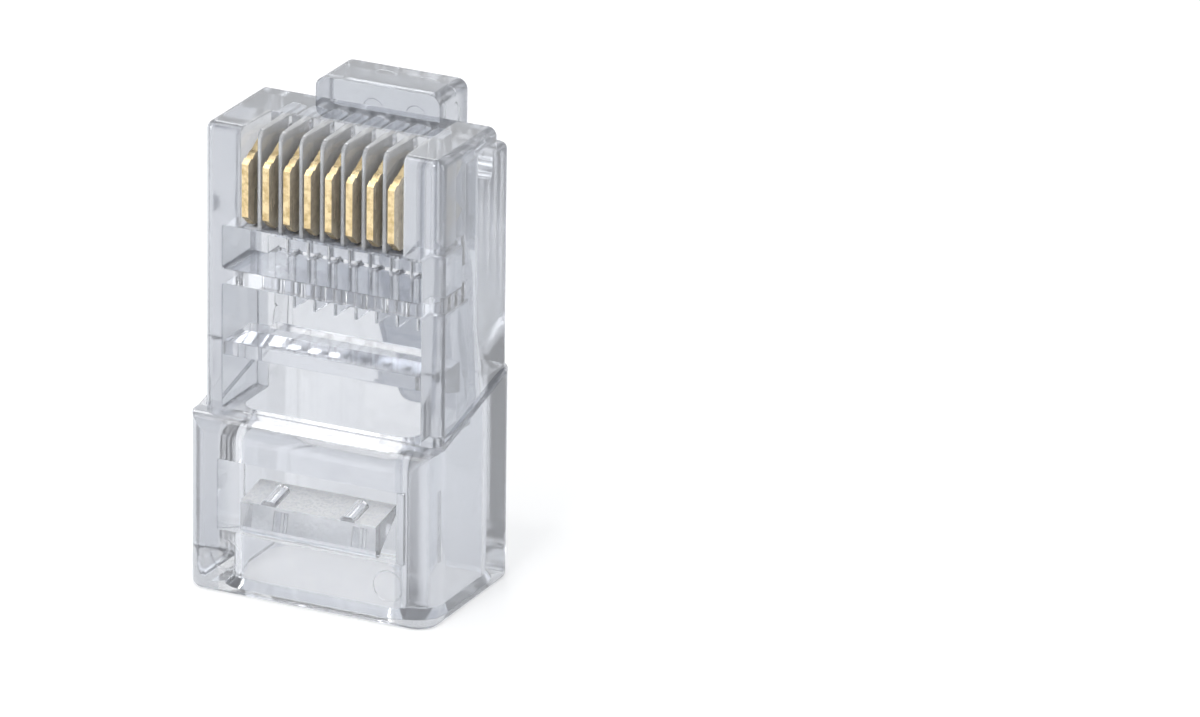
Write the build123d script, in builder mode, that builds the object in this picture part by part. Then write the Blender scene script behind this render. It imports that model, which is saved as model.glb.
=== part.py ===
from build123d import *
from math import atan, degrees
import os

# Frame: X across the plug, Y from the contact side to the latch side, Z from the cable end to the nose.
# The origin is the middle of the cable end face. Depths below are measured from the contact face.

# Front body
body_width = 11.68
body_depth = 6.7
body_length = 21.4
body_corner = 0.5
nose_edge = 0.4
nose_step_depth = 5.27
nose_step_drop = 1.02
nose_step_edge = 0.3

# Rear block, thicker than the front body on every side
block_width = 12.1
block_flare = 1.34
latch_flare = 0.26
block_corner = 1.0
block_foot_edge = 0.25
shoulder_low = 8.14
shoulder_high = 9.9
shoulder_round = 0.75
shoulder_dip = 0.95

# Latch root, the raised middle of the nose
root_width = 6.1
root_top = 8.18
root_proud = 0.95
root_back = 18.4
root_corner = 0.5
root_edge = 0.25

# Cable cavity, funnel and conductor channels
cavity_width = 8.65
cavity_near = 0.45
cavity_far = 5.75
cavity_corner = 0.9
cavity_length = 8.9
cavity_mouth = 0.45
funnel_length = 3.2
conductors = 8
pitch = 1.02
channel_width = 0.88
channel_near = 3.55
channel_far = 4.75
channel_corner = 0.22
channel_end = 20.2

# Contact slots, the pockets of the blades and the open recess under the slots
slot_width = 0.84
slot_end_width = 0.57
slot_depth = 2.65
slot_bottom = 16.75
pocket_width = 0.42
pocket_clearance = 0.08
recess_low = 14.73
cell_high = 15.55

# Contact blades
blade_thickness = 0.32
blade_proud = 0.38
blade_low = 16.95
blade_high = 20.7
blade_reach = 3.4
blade_chin = 0.2
edge_low = 17.45
edge_high = 19.88
step_rise = 0.2
step_back = 0.26
step_dip = 0.05
step_flat = 0.12
tang_root = 2.25
tang_heel = 2.5
tang_low = 18.1
tang_high = 20.3
tang_notch = 19.2
notch_round = 0.22
step_top = 1.25
blade_travel = 1.0

# Window over the conductors, with its clamp bar
window_width = 9.78
window_low = 8.2
window_high = 14.03
window_corner = 0.12
comb_near = 3.3
bar_inset = 0.02
bar_high = 11.35
bar_front = 0.65
bar_back = 1.45
bar_reach = 2.6
bar_ridge = 0.65
bar_ridge_gap = 0.14
bar_round = 0.1
bar_side_gap = 0.04

# Window in the rear block, with the jacket clamp
port_width = 8.82
port_low = 3.02
port_high = 6.32
port_throat_width = 8.52
port_throat_low = 2.5
port_throat_high = 5.85
wedge_width = 6.7
wedge_inset = 0.15
wedge_front_high = 4.48
wedge_back_high = 4.85
wedge_thickness = 1.95
wedge_hinge_radius = 0.25
wedge_gap = 0.03
wedge_heel = 0.45
grip_width = 0.72
grip_height = 0.3
grip_length = 1.4
grip_spacing = 3.9

# Latch
hinge_radius = 0.35
hinge_gap = 0.03
latch_width = 6.1
wing_back = 14.75
wing_front = 15.05
wing_top = 9.88
wing_foot = 8.05
wing_round = 0.25
ramp_start = 16.3
ramp_height = 8.45
ramp_round = 0.8
plate_under = 7.72
lever_width = 3.25
lever_root = 9.2
lever_tip = 5.5
lever_rise = 12.28
lever_thickness = 0.88
lever_corner = 0.55

# Shallow round marks left by the mould's ejector pins
mark_depth = 0.05
block_mark_radius = 0.72
block_mark_spacing = 8.06
block_mark_height = 1.87
root_mark_radius = 0.5
root_mark_spacing = 2.1
root_mark_height = 20.6

# Places worked out from the sizes above
block_depth = block_flare + body_depth + latch_flare
contact_face = block_flare - block_depth / 2
block_front = -block_depth / 2
block_back = block_depth / 2
latch_face = contact_face + body_depth
nose_top = body_length + root_proud
root_face = contact_face + root_top
hinge_depth = root_face - hinge_radius
funnel_end = cavity_length + funnel_length
bank_width = (conductors - 1) * pitch + channel_width
slot_draft = degrees(atan((slot_width - slot_end_width) / 2 / slot_depth))


def contact_plane(depth):
    """Plane parallel to the contact face at a depth behind it, X to the right and Z up."""
    return Plane.XZ.offset(-contact_face - depth)


def contact_columns():
    """Places of the eight contacts across the plug."""
    return GridLocations(pitch, 1, conductors, 1)


# Housing: rear block, front body and latch root, moulded in one
with BuildPart() as housing:
    with BuildSketch():
        RectangleRounded(block_width, block_depth, block_corner)
    extrude(amount=shoulder_high + block_flare)
    with BuildSketch(Plane.YZ) as block_side:
        with BuildLine():
            Polyline(
                (block_front, 0),
                (block_front, shoulder_low),
                (contact_face, shoulder_low),
                (latch_face, shoulder_high),
                (block_back, shoulder_high),
                (block_back, 0),
                close=True,
            )
        make_face()
        fillet(block_side.vertices().sort_by(Axis.X)[:2].sort_by(Axis.Y)[-1], shoulder_round)
    extrude(amount=block_width, both=True, mode=Mode.INTERSECT)

    # The shoulder under the latch lever slants back to an arc
    arc_reach = block_width / 2 - block_corner
    with BuildSketch(Plane.ZX.offset(latch_face)):
        with Locations((shoulder_high, 0)):
            Rectangle(block_flare, 2 * arc_reach, align=(Align.MIN, Align.CENTER))
    with BuildSketch(Plane.ZX.offset(block_back)):
        with BuildLine():
            ThreePointArc(
                (shoulder_high, -arc_reach),
                (shoulder_high - shoulder_dip, 0),
                (shoulder_high, arc_reach),
            )
            Polyline(
                (shoulder_high, arc_reach),
                (shoulder_high + block_flare, arc_reach),
                (shoulder_high + block_flare, -arc_reach),
                (shoulder_high, -arc_reach),
            )
        make_face()
    loft(mode=Mode.SUBTRACT)
    fillet(housing.faces().sort_by(Axis.Z)[0].outer_wire().edges(), block_foot_edge)

    front_start = shoulder_low - block_flare
    with BuildSketch(Plane.XY.offset(front_start)):
        with Locations((0, contact_face + body_depth / 2)):
            RectangleRounded(body_width, body_depth, body_corner)
    extrude(amount=body_length - front_start)

    # The latch half of the nose stands back in a step
    step_floor = body_length - nose_step_drop
    with BuildSketch(Plane.YZ):
        with Locations((contact_face + nose_step_depth, step_floor)):
            Rectangle(body_depth, body_length, align=(Align.MIN, Align.MIN))
    extrude(amount=body_width, both=True, mode=Mode.SUBTRACT)
    nose_rim = housing.faces().sort_by(Axis.Z)[-1].outer_wire().edges().sort_by(Axis.Y)[:-1]
    fillet(nose_rim, nose_edge)
    step_rim = housing.faces().filter_by(Axis.Z).group_by(Axis.Z)[-2].edges()
    fillet(step_rim.sort_by(Axis.Y)[1:], nose_step_edge)

    # Latch root
    with BuildSketch(contact_plane(nose_step_depth)) as root_front:
        with Locations((0, root_back)):
            Rectangle(root_width, nose_top - root_back, align=(Align.CENTER, Align.MIN))
        fillet(root_front.vertices().group_by(Axis.Z)[-1], root_corner)
    extrude(amount=nose_step_depth - root_top)
    root_rim = housing.faces().filter_by(Axis.Y).sort_by(Axis.Y)[-1].edges().sort_by(Axis.Z)[1:]
    fillet(root_rim, root_edge)
    with BuildSketch(Plane.YZ):
        with Locations((hinge_depth, root_back)):
            Circle(hinge_radius + hinge_gap)
    extrude(amount=root_width, both=True, mode=Mode.SUBTRACT)

    # Cable cavity with its flared mouth
    cavity_height = cavity_far - cavity_near
    cavity_middle = contact_face + (cavity_near + cavity_far) / 2
    with BuildSketch():
        with Locations((0, cavity_middle)):
            RectangleRounded(cavity_width, cavity_height, cavity_corner)
    extrude(amount=cavity_length, mode=Mode.SUBTRACT)
    chamfer(housing.faces().sort_by(Axis.Z)[0].inner_wires()[0].edges(), cavity_mouth)

    # Funnel from the cavity to the bank of conductor channels
    with BuildSketch(Plane.XY.offset(cavity_length)):
        with Locations((0, cavity_middle)):
            RectangleRounded(cavity_width, cavity_height, cavity_corner)
    with BuildSketch(Plane.XY.offset(funnel_end)):
        with Locations((0, contact_face + (comb_near + channel_far) / 2)):
            RectangleRounded(bank_width, channel_far - comb_near, channel_corner)
    loft(mode=Mode.SUBTRACT)

    # Conductor channels, open as a comb at the back of the window
    with BuildSketch(Plane.XY.offset(funnel_end)):
        with Locations((0, contact_face + (channel_near + channel_far) / 2)):
            with contact_columns():
                RectangleRounded(channel_width, channel_far - channel_near, channel_corner)
    extrude(amount=channel_end - funnel_end, mode=Mode.SUBTRACT)
    with BuildSketch(contact_plane(0)):
        with Locations((0, (funnel_end + window_high) / 2)):
            with contact_columns():
                Rectangle(channel_width, window_high - funnel_end)
    extrude(amount=-(channel_near + channel_far) / 2, mode=Mode.SUBTRACT)

    # Window over the conductors
    window_height = window_high - window_low
    with BuildSketch(contact_plane(0)):
        with Locations((0, (window_low + window_high) / 2)):
            RectangleRounded(window_width, window_height, window_corner)
    extrude(amount=-comb_near, mode=Mode.SUBTRACT)

    # Open recess under the contact slots, with a cell over each conductor channel at its back
    with BuildSketch(contact_plane(0)):
        with Locations((0, (recess_low + slot_bottom) / 2)):
            RectangleRounded(window_width, slot_bottom - recess_low, window_corner)
    extrude(amount=-slot_depth, mode=Mode.SUBTRACT)
    with BuildSketch(contact_plane(slot_depth)):
        with Locations((0, (recess_low + cell_high) / 2)):
            with contact_columns():
                Rectangle(channel_width, cell_high - recess_low)
    extrude(amount=slot_depth - (channel_near + channel_far) / 2, mode=Mode.SUBTRACT)

    # Contact slots, open at the nose, and the deeper pockets of the blades
    with BuildSketch(contact_plane(0)):
        with Locations((0, slot_bottom)):
            with contact_columns():
                Rectangle(slot_width, body_length, align=(Align.CENTER, Align.MIN))
    extrude(amount=-slot_depth, taper=slot_draft, mode=Mode.SUBTRACT)
    with BuildSketch(contact_plane(0)):
        with Locations((0, blade_low - pocket_clearance)):
            with contact_columns():
                pocket_height = blade_high - blade_low + 2 * pocket_clearance
                Rectangle(pocket_width, pocket_height, align=(Align.CENTER, Align.MIN))
    extrude(amount=-(blade_reach + blade_travel + pocket_clearance), mode=Mode.SUBTRACT)

    # Window in the rear block, narrowing towards the cavity
    with BuildSketch(contact_plane(-block_flare)):
        with Locations((0, (port_low + port_high) / 2)):
            Rectangle(port_width, port_high - port_low)
    with BuildSketch(contact_plane(cavity_near)):
        with Locations((0, (port_throat_low + port_throat_high) / 2)):
            Rectangle(port_throat_width, port_throat_high - port_throat_low)
    loft(mode=Mode.SUBTRACT)
    with BuildSketch(contact_plane(cavity_near)):
        with Locations((0, (port_throat_low + port_throat_high) / 2)):
            Rectangle(port_throat_width, port_throat_high - port_throat_low)
    extrude(amount=-cavity_corner / 2, mode=Mode.SUBTRACT)

    # Ejector marks
    with BuildSketch(contact_plane(-block_flare)):
        with Locations((0, block_mark_height)):
            with GridLocations(block_mark_spacing, 1, 2, 1):
                Circle(block_mark_radius)
    extrude(amount=-mark_depth, mode=Mode.SUBTRACT)
    with BuildSketch(contact_plane(root_top)):
        with Locations((0, root_mark_height)):
            with GridLocations(root_mark_spacing, 1, 2, 1):
                Circle(root_mark_radius)
    extrude(amount=mark_depth, mode=Mode.SUBTRACT)

# Latch: hinge barrel, plate with its two wings, and the narrower lever
with BuildPart() as latch:
    with BuildSketch(Plane.YZ):
        with Locations((hinge_depth, root_back)):
            Circle(hinge_radius)
    extrude(amount=latch_width / 2, both=True)
    with BuildSketch(Plane.YZ) as wing_side:
        with BuildLine():
            Polyline(
                (hinge_depth - hinge_radius, root_back),
                (contact_face + plate_under, ramp_start),
                (contact_face + wing_foot, wing_back),
                (contact_face + wing_top, wing_back),
                (contact_face + wing_top, wing_front),
                (contact_face + ramp_height, ramp_start),
                (hinge_depth + hinge_radius, root_back),
                close=True,
            )
        make_face()
        fillet(wing_side.vertices().sort_by_distance((contact_face + ramp_height, ramp_start))[0], ramp_round)
    extrude(amount=latch_width / 2, both=True)
    wing_corners = latch.faces().filter_by(Axis.Y).sort_by(Axis.Y)[-1].edges().filter_by(Axis.Z)
    fillet(wing_corners, wing_round)
    with BuildSketch(Plane.YZ):
        with BuildLine():
            Polyline(
                (contact_face + ramp_height, ramp_start),
                (contact_face + lever_root, wing_front),
                (contact_face + lever_rise, lever_tip),
                (contact_face + lever_rise, ramp_start),
                close=True,
            )
        make_face()
    extrude(amount=lever_width / 2, both=True, mode=Mode.SUBTRACT)
    with BuildSketch(Plane.YZ):
        with BuildLine():
            Polyline(
                (contact_face + plate_under, ramp_start),
                (contact_face + ramp_height, ramp_start),
                (contact_face + lever_root, wing_front),
                (contact_face + lever_rise, lever_tip),
                (contact_face + lever_rise - lever_thickness, lever_tip),
                (contact_face + lever_root - lever_thickness, wing_front),
                close=True,
            )
        make_face()
    extrude(amount=lever_width / 2, both=True)
    tip_corners = latch.edges().filter_by(lambda e: e.length < 2 * lever_thickness).group_by(Axis.Z)[0]
    fillet(tip_corners.filter_by(Axis.X, reverse=True), lever_corner)

# Contact blade in its raised place, before the plug is crimped
blade_front = contact_face - blade_proud
blades = []
for number in range(conductors):
    across = (number - (conductors - 1) / 2) * pitch
    with BuildPart() as contact:
        with BuildSketch(Plane.YZ.offset(across - blade_thickness / 2)) as blade_side:
            with BuildLine():
                Polyline(
                    (blade_front, edge_low),
                    (contact_face + blade_chin, blade_low),
                    (contact_face + tang_root, blade_low),
                    (contact_face + tang_heel, edge_low),
                    (contact_face + blade_reach, tang_low),
                    (contact_face + tang_root, tang_notch),
                    (contact_face + blade_reach, tang_high),
                    (contact_face + tang_heel, blade_high),
                    (contact_face + step_top, blade_high),
                    (blade_front + 2 * step_back + 3 * step_flat, edge_high + 2 * step_rise),
                    (blade_front + 2 * step_back + step_flat, edge_high + 2 * step_rise - step_dip),
                    (blade_front + step_back + 2 * step_flat, edge_high + step_rise + step_dip),
                    (blade_front + step_back + step_flat, edge_high + step_rise - step_dip),
                    (blade_front + step_back, edge_high + step_rise),
                    (blade_front, edge_high),
                    close=True,
                )
            make_face()
            notch = blade_side.vertices().sort_by_distance((contact_face + tang_root, tang_notch))[0]
            fillet(notch, notch_round)
        extrude(amount=blade_thickness)
    contact.part.label = f"contact_{number + 1}"
    blades.append(contact.part)

# Clamp bar across the window, with a narrower pressing ridge towards the conductors
bar_face = contact_face + bar_inset
bar_root = contact_face + bar_reach
ridge_face = bar_root + bar_ridge
with BuildPart() as conductor_clamp:
    with BuildSketch(Plane.YZ):
        with BuildLine():
            Polyline(
                (bar_face, bar_high),
                (bar_face, bar_high - bar_front),
                (bar_root, bar_high - bar_back),
                (bar_root, bar_high),
                close=True,
            )
        make_face()
    extrude(amount=window_width / 2 - bar_side_gap, both=True)
    with BuildSketch(Plane.YZ) as ridge_side:
        with BuildLine():
            Polyline(
                (bar_face, bar_high),
                (bar_face, bar_high - bar_front),
                (bar_root, bar_high - bar_back),
                (ridge_face, bar_high - bar_back),
                (ridge_face, bar_high),
                close=True,
            )
        make_face()
        fillet(ridge_side.vertices().group_by(Axis.Y)[-1], bar_round)
    extrude(amount=bank_width / 2 - bar_ridge_gap, both=True)

# Jacket clamp: a wedge hinged at its cable side, with two grip ribs on the face towards the nose
wedge_face = block_front + wedge_inset
port_slope = (port_low - port_throat_low) / (block_flare + cavity_near)
wedge_axis_height = port_low - port_slope * (wedge_inset + wedge_hinge_radius)
wedge_axis = (wedge_face + wedge_hinge_radius, wedge_axis_height + wedge_hinge_radius + wedge_gap)
wedge_back = wedge_face + wedge_thickness
with BuildPart() as jacket_clamp:
    with BuildSketch(Plane.YZ):
        with Locations(wedge_axis):
            Circle(wedge_hinge_radius)
        with BuildLine():
            Polyline(
                (wedge_face, wedge_axis[1]),
                (wedge_face, wedge_front_high),
                (wedge_back, wedge_back_high),
                (wedge_back, wedge_back_high - wedge_heel),
                (wedge_face + 2 * wedge_hinge_radius, wedge_axis[1]),
                close=True,
            )
        make_face()
    extrude(amount=wedge_width / 2, both=True)
    grip_plane = Plane(
        origin=(0, wedge_face, wedge_front_high),
        x_dir=(1, 0, 0),
        z_dir=(0, wedge_thickness, wedge_back_high - wedge_front_high),
    )
    with BuildSketch(grip_plane):
        with GridLocations(grip_spacing, 1, 2, 1):
            Ellipse(grip_width / 2, grip_height)
    extrude(amount=grip_length)

housing.part.label = "housing"
latch.part.label = "latch"
conductor_clamp.part.label = "conductor_clamp"
jacket_clamp.part.label = "jacket_clamp"

os.makedirs("parts", exist_ok=True)
for piece in [housing.part, latch.part, conductor_clamp.part, jacket_clamp.part] + blades:
    export_step(piece, f"parts/{piece.label}.step")
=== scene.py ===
import bpy
from mathutils import Matrix, Vector

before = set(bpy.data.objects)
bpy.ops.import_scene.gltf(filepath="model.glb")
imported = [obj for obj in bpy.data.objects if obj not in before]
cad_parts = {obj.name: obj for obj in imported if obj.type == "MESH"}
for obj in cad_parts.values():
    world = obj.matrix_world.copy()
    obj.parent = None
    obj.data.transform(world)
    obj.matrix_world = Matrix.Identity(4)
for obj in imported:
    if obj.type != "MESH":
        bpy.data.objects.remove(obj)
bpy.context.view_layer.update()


# Places and sizes in metres, in the object's own axes

# Limits in X, Y and Z of the contact slots, and of what the polished cores shape; the plastic inside
# them is painted paler, as painted light
slot_box = ((-0.0040, 0.0040), (-0.0031, -0.0002), (0.0169, 0.03))
core_box = ((-0.0043, 0.0043), (-0.0043, 0.0035), (-0.0001, 0.0165))
box_softness = 0.0001

# Radius of the rounded sharp edges
moulding_edge = 0.0001
wedge_edge = 0.00004

# Height of the flow marks, the spark texture and the drawing marks
flow_relief = 0.000003
grain_relief = 0.00008
drawn_relief = 0.000004

floor_size = 3.0
lamp_target = (0, 0, 0.011)
camera_place = (0.201914, -0.392823, 0.177594)
camera_near = 0.01


# Colours, as a dark and a light shade of each surface

# Grey-blue body: a slight real tint, deepened with painted shade that stands in for the darker
# surroundings seen through the clear plastic
body_tint_and_painted_shade = ((0.64, 0.665, 0.715), (0.70, 0.72, 0.765))
# Paler plastic inside the housing, on the bar and on the wedge: painted light that lifts the shade
# inside the cavity, channels and port
inner_painted_light_shades = ((0.90, 0.91, 0.94), (0.95, 0.96, 0.98))
# Paler still on the walls of the contact slots: painted light that lifts the shade between the blades
slot_painted_light_shades = ((0.92, 0.93, 0.95), (0.96, 0.965, 0.975))
# Wedge top: spark texture, partly painted light, with the top faces painted near white and painted
# glints in the grain
grain_and_painted_glint_shades = ((0.88, 0.89, 0.91), (1.0, 1.0, 1.0))
plating_shades = ((0.50, 0.36, 0.17), (0.84, 0.68, 0.41))
flat_shades = ((0.56, 0.49, 0.39), (0.80, 0.72, 0.58))
floor_colour = (0.82, 0.82, 0.82, 1)
glow_colour = (1, 1, 1, 1)
world_colour = (0.97, 0.985, 1.0, 1)


# Other looks of the surfaces

plastic_ior = 1.585
body_clear = 0.82
slot_clear = 0.74
core_clear = 0.96
bar_clear = 0.92
texture_clear = 0.5
plating_metallic = 1.0
flat_metallic = 0.35

# Least and greatest roughness of each surface
body_rough = (0.03, 0.08)
bar_rough = (0.03, 0.09)
wedge_rough = (0.06, 0.3)
gold_rough = (0.2, 0.4)

# Values of a noise at which the dark shade ends and the light one begins
usual_contrast = (0.3, 0.7)
grain_and_glint_contrast = (0.43, 0.5)
plating_contrast = (0.3, 0.6)

# Share of the normal along an axis at which a face begins to count and counts in full
top_facing = (0.95, 0.98)
side_facing = (0.6, 0.8)

# Scale of a noise in X, Y and Z. Where Z has less, its marks are longer along the plug
flow_stretch = (1, 1, 0.45)
drawn_stretch = (1, 1, 0.12)

# The way a seed moves a noise, and the steps between seeds
seed_way = (1, 0.7, 0.3)
fine_seed_step = 3
worn_seed_step = 5
contact_seed_step = 0.37

contact_count = 8
edge_samples = 4
floor_rough = 0.9

# Strength of the floor's glow where it is seen, and of the world as light and where it is seen
floor_glow = 0.35
world_light = 0.55
world_seen = 1.0


# Node helpers, where an owner is a material or the world

def new_material(name):
    """An empty node material with its shader and output, ready for textures."""
    material = bpy.data.materials.new(name)
    material.use_nodes = True
    nodes = material.node_tree.nodes
    nodes.clear()
    output = nodes.new("ShaderNodeOutputMaterial")
    shader = nodes.new("ShaderNodeBsdfPrincipled")
    material.node_tree.links.new(shader.outputs["BSDF"], output.inputs["Surface"])
    return material, shader


def noise(material, scale, detail, roughness, seed, stretch=(1, 1, 1)):
    """Noise in the object's own coordinates. Scale is in cells a metre."""
    nodes, links = material.node_tree.nodes, material.node_tree.links
    place = nodes.new("ShaderNodeTexCoord")
    mapping = nodes.new("ShaderNodeMapping")
    mapping.inputs["Scale"].default_value = stretch
    mapping.inputs["Location"].default_value = [seed * part for part in seed_way]
    texture = nodes.new("ShaderNodeTexNoise")
    texture.inputs["Scale"].default_value = scale
    texture.inputs["Detail"].default_value = detail
    texture.inputs["Roughness"].default_value = roughness
    links.new(place.outputs["Object"], mapping.inputs["Vector"])
    links.new(mapping.outputs["Vector"], texture.inputs["Vector"])
    return texture.outputs["Fac"]


def spread(owner, source, low, high, low_at=0, high_at=1):
    """A value that goes from low to high as its source goes from low_at to high_at."""
    node = owner.node_tree.nodes.new("ShaderNodeMapRange")
    node.inputs["From Min"].default_value = low_at
    node.inputs["From Max"].default_value = high_at
    node.inputs["To Min"].default_value = low
    node.inputs["To Max"].default_value = high
    owner.node_tree.links.new(source, node.inputs["Value"])
    return node.outputs["Result"]


def combined(owner, operation, first, second):
    """Two values multiplied or added, or the greater of the two."""
    node = owner.node_tree.nodes.new("ShaderNodeMath")
    node.operation = operation
    for place, source in zip(node.inputs, (first, second)):
        owner.node_tree.links.new(source, place)
    return node.outputs[0]


def colours(material, source, shades, contrast=usual_contrast):
    """A colour between a dark and a light shade that follows a texture."""
    ramp = material.node_tree.nodes.new("ShaderNodeValToRGB")
    for stop, shade, place in zip(ramp.color_ramp.elements, shades, contrast):
        stop.position = place
        stop.color = (*shade, 1)
    material.node_tree.links.new(source, ramp.inputs["Fac"])
    return ramp.outputs["Color"]


def blended(material, share, first, second):
    """The first colour, turned into the second where a share is one."""
    mix = material.node_tree.nodes.new("ShaderNodeMix")
    mix.data_type = "RGBA"
    sockets = {socket.identifier: socket for socket in [*mix.inputs, *mix.outputs]}
    for place, source in (("Factor_Float", share), ("A_Color", first), ("B_Color", second)):
        material.node_tree.links.new(source, sockets[place])
    return sockets["Result_Color"]


def bump(material, shader, source, height, edge=0.0):
    """Surface relief, and edges rounded to a radius. Height and radius are in metres."""
    node = material.node_tree.nodes.new("ShaderNodeBump")
    if edge:
        soft = material.node_tree.nodes.new("ShaderNodeBevel")
        soft.samples = edge_samples
        soft.inputs["Radius"].default_value = edge
        material.node_tree.links.new(soft.outputs["Normal"], node.inputs["Normal"])
    node.inputs["Distance"].default_value = height
    material.node_tree.links.new(source, node.inputs["Height"])
    material.node_tree.links.new(node.outputs["Normal"], shader.inputs["Normal"])


def coordinate(material, kind, axis):
    """The object's own position or normal along one axis."""
    nodes, links = material.node_tree.nodes, material.node_tree.links
    place = nodes.new("ShaderNodeTexCoord")
    split = nodes.new("ShaderNodeSeparateXYZ")
    links.new(place.outputs[kind], split.inputs["Vector"])
    return split.outputs[axis]


def facing(material, axis, limits):
    """One on the faces that look either way along an axis of the object, else zero."""
    size = material.node_tree.nodes.new("ShaderNodeMath")
    size.operation = "ABSOLUTE"
    material.node_tree.links.new(coordinate(material, "Normal", axis), size.inputs[0])
    return spread(material, size.outputs[0], 0, 1, *limits)


def within(material, axis, low, high):
    """One where the object's own coordinate lies between two values, else zero."""
    place = coordinate(material, "Object", axis)
    above = spread(material, place, 0, 1, low - box_softness, low)
    below = spread(material, place, 1, 0, high, high + box_softness)
    return combined(material, "MULTIPLY", above, below)


def region(material, box):
    """One inside a box given by its limits in X, Y and Z, else zero."""
    inside = within(material, "X", *box[0])
    for axis, limits in zip("YZ", box[1:]):
        inside = combined(material, "MULTIPLY", inside, within(material, axis, *limits))
    return inside


def seen_directly(owner):
    """One for camera, glossy and transmission rays, else zero."""
    path = owner.node_tree.nodes.new("ShaderNodeLightPath")
    total = path.outputs["Is Camera Ray"]
    for ray in ("Is Glossy Ray", "Is Transmission Ray"):
        total = combined(owner, "MAXIMUM", total, path.outputs[ray])
    return total


# Materials

def clear_plastic(name, shades, rough, seed, clear=body_clear, cored=False):
    """Clear moulded polycarbonate: slight flow marks, fine roughness and a little relief.

    A cored piece is painted paler inside, as painted light that lifts the shade in its
    cavity. The walls of its contact slots come from spark-cut mould inserts, so they are
    a little duller, and are painted paler still, as painted light between the blades. Its
    channels, windows and cavity come from polished cores, so they are clearer."""
    material, shader = new_material(name)
    flow = noise(material, scale=260, detail=3, roughness=0.5, seed=seed, stretch=flow_stretch)
    fine = noise(material, scale=1600, detail=2, roughness=0.6, seed=seed + fine_seed_step)
    links = material.node_tree.links
    colour = colours(material, flow, shades)
    shader.inputs["Transmission Weight"].default_value = clear
    if cored:
        slots = region(material, slot_box)
        cores = region(material, core_box)
        # Painted light: paler shades inside the cores, and paler still on the slot walls
        colour = blended(material, cores, colour, colours(material, fine, inner_painted_light_shades))
        # Painted light between the blades: the slot walls painted paler still
        colour = blended(material, slots, colour, colours(material, fine, slot_painted_light_shades))
        duller = spread(material, slots, 0, slot_clear - clear)
        clearer = spread(material, cores, clear, core_clear)
        links.new(combined(material, "ADD", duller, clearer), shader.inputs["Transmission Weight"])
    links.new(colour, shader.inputs["Base Color"])
    links.new(spread(material, fine, *rough, *usual_contrast), shader.inputs["Roughness"])
    shader.inputs["IOR"].default_value = plastic_ior
    bump(material, shader, flow, flow_relief, moulding_edge)
    return material


def textured_plastic(name, seed):
    """The clearer plastic, with spark texture on the faces that look along Z. These faces are painted
    near white, partly painted light, with painted glints in the grain.
    """
    material, shader = new_material(name)
    grain = noise(material, scale=5200, detail=2, roughness=0.6, seed=seed)
    top = facing(material, "Z", top_facing)
    links = material.node_tree.links
    # Painted light: the wedge's other faces in the paler inner shades
    plain = colours(material, grain, inner_painted_light_shades)
    # Painted light: the top faces near white, with painted glints in the grain
    texture = colours(material, grain, grain_and_painted_glint_shades, grain_and_glint_contrast)
    links.new(blended(material, top, plain, texture), shader.inputs["Base Color"])
    links.new(spread(material, top, *wedge_rough), shader.inputs["Roughness"])
    links.new(spread(material, top, core_clear, texture_clear), shader.inputs["Transmission Weight"])
    shader.inputs["IOR"].default_value = plastic_ior
    bump(material, shader, combined(material, "MULTIPLY", grain, top), grain_relief, wedge_edge)
    return material


def gold(name, seed):
    """Gold plating on the edges of a stamped bronze blade, with duller, greyer flat sides."""
    material, shader = new_material(name)
    drawn = noise(material, scale=900, detail=3, roughness=0.6, seed=seed, stretch=drawn_stretch)
    worn = noise(material, scale=2600, detail=3, roughness=0.6, seed=seed + worn_seed_step)
    side = facing(material, "X", side_facing)
    links = material.node_tree.links
    plating = colours(material, worn, plating_shades, plating_contrast)
    flat = colours(material, worn, flat_shades)
    links.new(blended(material, side, plating, flat), shader.inputs["Base Color"])
    links.new(spread(material, drawn, *gold_rough, *usual_contrast), shader.inputs["Roughness"])
    links.new(spread(material, side, plating_metallic, flat_metallic), shader.inputs["Metallic"])
    bump(material, shader, drawn, drawn_relief)
    return material


def assign(node, material):
    """Puts one material in every slot of a piece of the frame."""
    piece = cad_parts[node]
    if not piece.material_slots:
        piece.data.materials.append(material)
    for place in piece.material_slots:
        place.material = material


# Housing and latch in the body shades: a slight tint deepened with painted shade
assign("housing", clear_plastic("housing_clear", body_tint_and_painted_shade, body_rough, seed=0.0, cored=True))
assign("latch", clear_plastic("latch_clear", body_tint_and_painted_shade, body_rough, seed=1.3))
# The bar in the paler inner shades, as painted light
assign("conductor_clamp", clear_plastic("bar_clear", inner_painted_light_shades, bar_rough, seed=2.1, clear=bar_clear))
# The wedge, with painted light: paler shades and a painted near-white top with painted glints
assign("jacket_clamp", textured_plastic("wedge_clear", seed=3.7))
for number in range(1, contact_count + 1):
    assign(f"contact_{number}", gold(f"gold_{number}", seed=contact_seed_step * number))


# Floor and world

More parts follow.
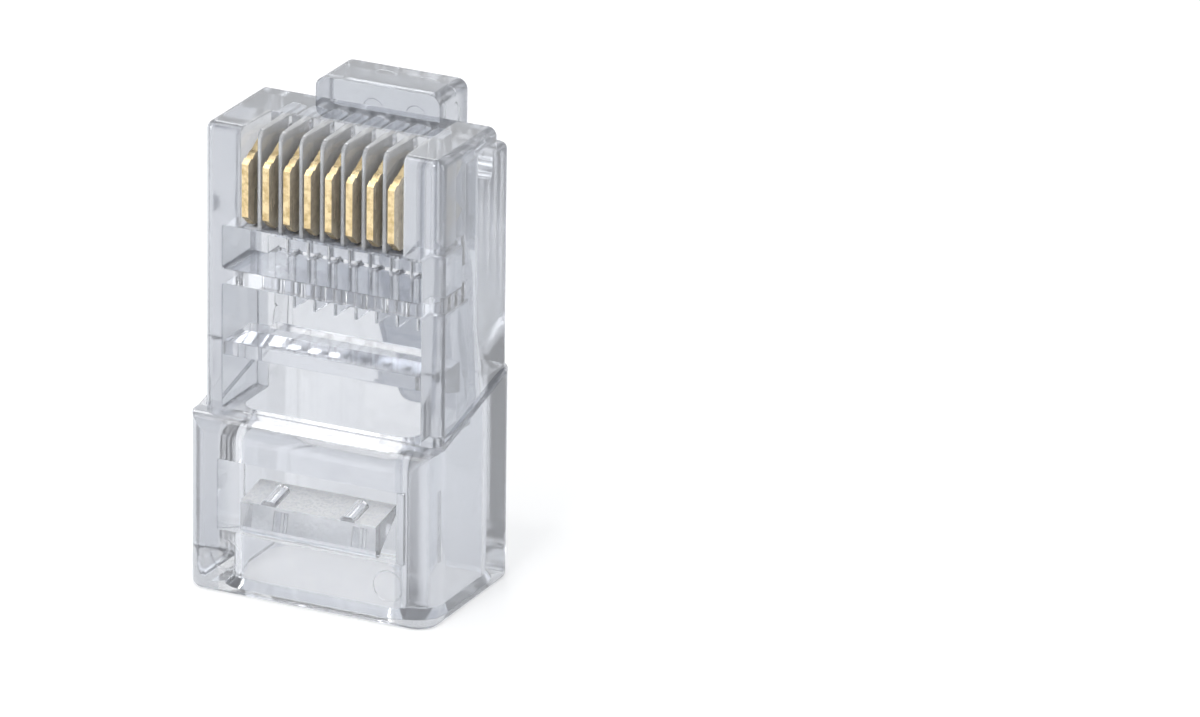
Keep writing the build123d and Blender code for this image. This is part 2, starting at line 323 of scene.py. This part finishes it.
bpy.ops.mesh.primitive_plane_add(size=floor_size, location=(0, 0, 0))
floor = bpy.context.object
floor.name = "floor"
floor_material, floor_shader = new_material("floor_white")
floor_shader.inputs["Base Color"].default_value = floor_colour
floor_shader.inputs["Roughness"].default_value = floor_rough
floor_shader.inputs["Emission Color"].default_value = glow_colour
glow = spread(floor_material, seen_directly(floor_material), 0, floor_glow)
floor_material.node_tree.links.new(glow, floor_shader.inputs["Emission Strength"])
floor.data.materials.append(floor_material)

world = bpy.data.worlds.new("studio")
bpy.context.scene.world = world
world.use_nodes = True
background = world.node_tree.nodes["Background"]
background.inputs["Color"].default_value = world_colour
strength = spread(world, seen_directly(world), world_light, world_seen)
world.node_tree.links.new(strength, background.inputs["Strength"])


# Lamps

# Name, place and size in metres, and power in watts
softboxes = (
    ("top", (0.0, -0.11, 0.115), (0.05, 0.05), 0.075),
    ("left", (-0.15, -0.08, 0.06), (0.02, 0.12), 0.05),
    ("right", (0.15, 0.0, 0.06), (0.02, 0.12), 0.05),
    ("back", (-0.065, 0.135, 0.068), (0.07, 0.03), 0.003),
    ("arch", (-0.065, 0.104, 0.114), (0.05, 0.05), 0.03),
    ("back_right", (0.075, 0.125, 0.07), (0.06, 0.05), 0.008),
    ("shoulder", (-0.065, -0.02, 0.155), (0.1, 0.03), 0.018),
)


def softbox(name, place, size, watts):
    """A rectangular area lamp that looks at the middle of the plug."""
    lamp = bpy.data.lights.new(name, "AREA")
    lamp.shape = "RECTANGLE"
    lamp.size, lamp.size_y = size
    lamp.energy = watts
    piece = bpy.data.objects.new(name, lamp)
    piece.location = place
    direction = Vector(lamp_target) - Vector(place)
    piece.rotation_euler = direction.to_track_quat("-Z", "Y").to_euler()
    bpy.context.scene.collection.objects.link(piece)


for row in softboxes:
    softbox(*row)


# Camera, fitted to the photograph

# Sensor width and focal length in millimetres
sensor_width = 36
focal_length = 322.2

# One row for each axis of the world: its share of the camera's right, up and back
camera_axes = Matrix((
    (0.898172, -0.166734, 0.406801),
    (0.439440, 0.312284, -0.842242),
    (0.013393, 0.935242, 0.353755),
))

camera_data = bpy.data.cameras.new("camera")
camera_data.sensor_width = sensor_width
camera_data.lens = focal_length
camera_data.clip_start = camera_near
camera = bpy.data.objects.new("camera", camera_data)
camera.matrix_world = Matrix.Translation(camera_place) @ camera_axes.to_4x4()
bpy.context.scene.collection.objects.link(camera)
bpy.context.scene.camera = camera

bpy.context.scene.view_settings.view_transform = "Standard"
